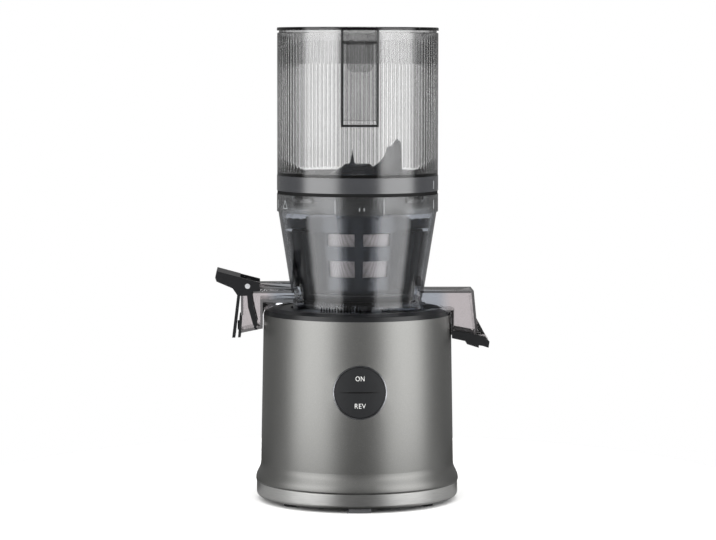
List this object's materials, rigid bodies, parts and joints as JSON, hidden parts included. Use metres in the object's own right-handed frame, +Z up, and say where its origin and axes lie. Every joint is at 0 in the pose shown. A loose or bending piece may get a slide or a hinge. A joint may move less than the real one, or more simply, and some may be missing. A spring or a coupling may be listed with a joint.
{
  "type": "cold press juicer",
  "caption": "Cold press juicer: silver-grey motor base with a round rocker switch, smoked clear drum with juice and residue spouts, tall clear hopper with a feed chute in its lid.",
  "frame": {"origin": "on the surface the juicer stands on, on the drive axis", "axes": "+Z up along the drive axis, the switch faces -Y, the juice spout is towards -X and the residue spout towards +X"},
  "size_m": [0.2663, 0.1982, 0.46],
  "materials": {
    "silver_paint": "satin silver-grey metallic paint",
    "skirt_paint": "satin, silver-grey",
    "black_gloss": "gloss black",
    "button_grey": "fine matt, charcoal",
    "bright_ring": "polished",
    "smoked_clear": "clear, smoked grey",
    "black_plastic": "satin black",
    "grey_plastic": "satin grey",
    "blue_grey_plastic": "satin blue-grey",
    "silicone": "matt",
    "rubber": "matt",
    "steel": "brushed",
    "lamination": "laminated sheet, dull",
    "copper": "enamelled copper wire",
    "board": "green board",
    "cast_metal": "as cast",
    "gear_nylon": "natural nylon"
  },
  "bodies": {
    "base": {"base_shell": "silver_paint", "base_ring": "skirt_paint", "bottom_plate": "black_plastic", "rubber_feet": "rubber", "front_foot": "grey_plastic", "case_screws": "steel", "deck_collar": "black_gloss", "deck_well": "black_gloss", "shaft_seal": "silicone", "cord_gland": "black_plastic", "button_bezel": "bright_ring", "switch_housing": "black_plastic", "switch_module": "black_plastic", "motor_stator": "lamination", "motor_windings": "copper", "lower_carrier": "cast_metal", "vibration_mounts": "rubber", "motor_bolts": "steel", "motor_bearings": "steel", "gearbox_housing": "cast_metal", "gearbox_cover": "cast_metal", "gearbox_screws": "steel", "gearbox_bearings": "steel", "control_board": "board", "run_capacitor": "grey_plastic"},
    "rotor": {"motor_rotor": "steel", "motor_pinion": "steel", "cooling_fan": "black_plastic"},
    "counter": {"countershaft_gear": "gear_nylon", "countershaft": "steel"},
    "output": {"output_gear": "gear_nylon", "drive_shaft": "steel"},
    "rocker": {"rocker_button": "button_grey"},
    "juicing_drum": {"drum": "smoked_clear", "drum_foot": "smoked_clear", "drum_floor": "smoked_clear", "juice_spout": "smoked_clear", "residue_spout": "smoked_clear", "drum_shaft_seal": "silicone", "strainer": "blue_grey_plastic", "strainer_mesh": "steel"},
    "idler": {"idler_gear": "black_plastic"},
    "brush": {"brush_frame": "black_plastic", "wiper_blades": "silicone"},
    "screw": {"auger": "blue_grey_plastic", "auger_hub_insert": "steel", "cutting_wing": "blue_grey_plastic"},
    "juice_cap": {"juice_cap_lever": "black_plastic", "juice_cap_pin": "grey_plastic", "juice_cap_seal": "silicone"},
    "residue_flap": {"residue_lever": "black_plastic", "residue_lever_pin": "grey_plastic", "residue_seal": "silicone"},
    "hopper_unit": {"hopper": "smoked_clear", "hopper_collar": "smoked_clear", "hopper_gasket": "silicone"},
    "lid_unit": {"lid": "smoked_clear", "feed_chute": "smoked_clear", "flap_pin": "black_plastic"},
    "gate": {"chute_flap": "smoked_clear"}
  },
  "joints": [
    {"name": "rotor_spin", "type": "hinge", "parent": "base", "child": "rotor", "pos_m": [0, 0, 0.07], "axis": [0, 0, 1], "continuous": true},
    {"name": "countershaft_spin", "type": "hinge", "parent": "base", "child": "counter", "pos_m": [0, 0.045, 0.135], "axis": [0, 0, 1], "continuous": true},
    {"name": "output_spin", "type": "hinge", "parent": "base", "child": "output", "pos_m": [0, 0, 0.16], "axis": [0, 0, 1], "continuous": true},
    {"name": "button_rock", "type": "hinge", "parent": "base", "child": "rocker", "pos_m": [0, -0.084, 0.115], "axis": [1, 0, 0], "range_deg": [-3, 3]},
    {"name": "drum_lift", "type": "slide", "parent": "base", "child": "juicing_drum", "axis": [0, 0, 1], "range_m": [0, 0.08]},
    {"name": "screw_spin", "type": "hinge", "parent": "juicing_drum", "child": "screw", "pos_m": [0, 0, 0.25], "axis": [0, 0, 1], "continuous": true},
    {"name": "brush_spin", "type": "hinge", "parent": "juicing_drum", "child": "brush", "pos_m": [0, 0, 0.23], "axis": [0, 0, 1], "continuous": true},
    {"name": "idler_spin", "type": "hinge", "parent": "juicing_drum", "child": "idler", "pos_m": [0, 0.036, 0.2], "axis": [0, 0, 1], "continuous": true},
    {"name": "juice_cap_open", "type": "hinge", "parent": "juicing_drum", "child": "juice_cap", "pos_m": [-0.107, 0, 0.2103], "axis": [0, 1, 0], "range_deg": [0, 80]},
    {"name": "residue_flap_open", "type": "hinge", "parent": "juicing_drum", "child": "residue_flap", "pos_m": [0.1209, 0, 0.15713], "axis": [0, -1, 0], "range_deg": [0, 70]},
    {"name": "hopper_twist", "type": "hinge", "parent": "juicing_drum", "child": "hopper_unit", "pos_m": [0, 0, 0.3], "axis": [0, 0, 1], "range_deg": [0, 35]},
    {"name": "lid_lift", "type": "slide", "parent": "hopper_unit", "child": "lid_unit", "axis": [0, 0, 1], "range_m": [0, 0.1]},
    {"name": "gate_swing", "type": "hinge", "parent": "lid_unit", "child": "gate", "pos_m": [0, -0.06599, 0.4453], "axis": [1, 0, 0], "range_deg": [0, 60]}
  ],
  "couplings": [
    {"joint": "countershaft_spin", "follows": "rotor_spin", "ratio": -0.2},
    {"joint": "output_spin", "follows": "rotor_spin", "ratio": 0.05},
    {"joint": "screw_spin", "follows": "rotor_spin", "ratio": 0.05},
    {"joint": "brush_spin", "follows": "rotor_spin", "ratio": -0.022727},
    {"joint": "idler_spin", "follows": "rotor_spin", "ratio": -0.083333}
  ]
}
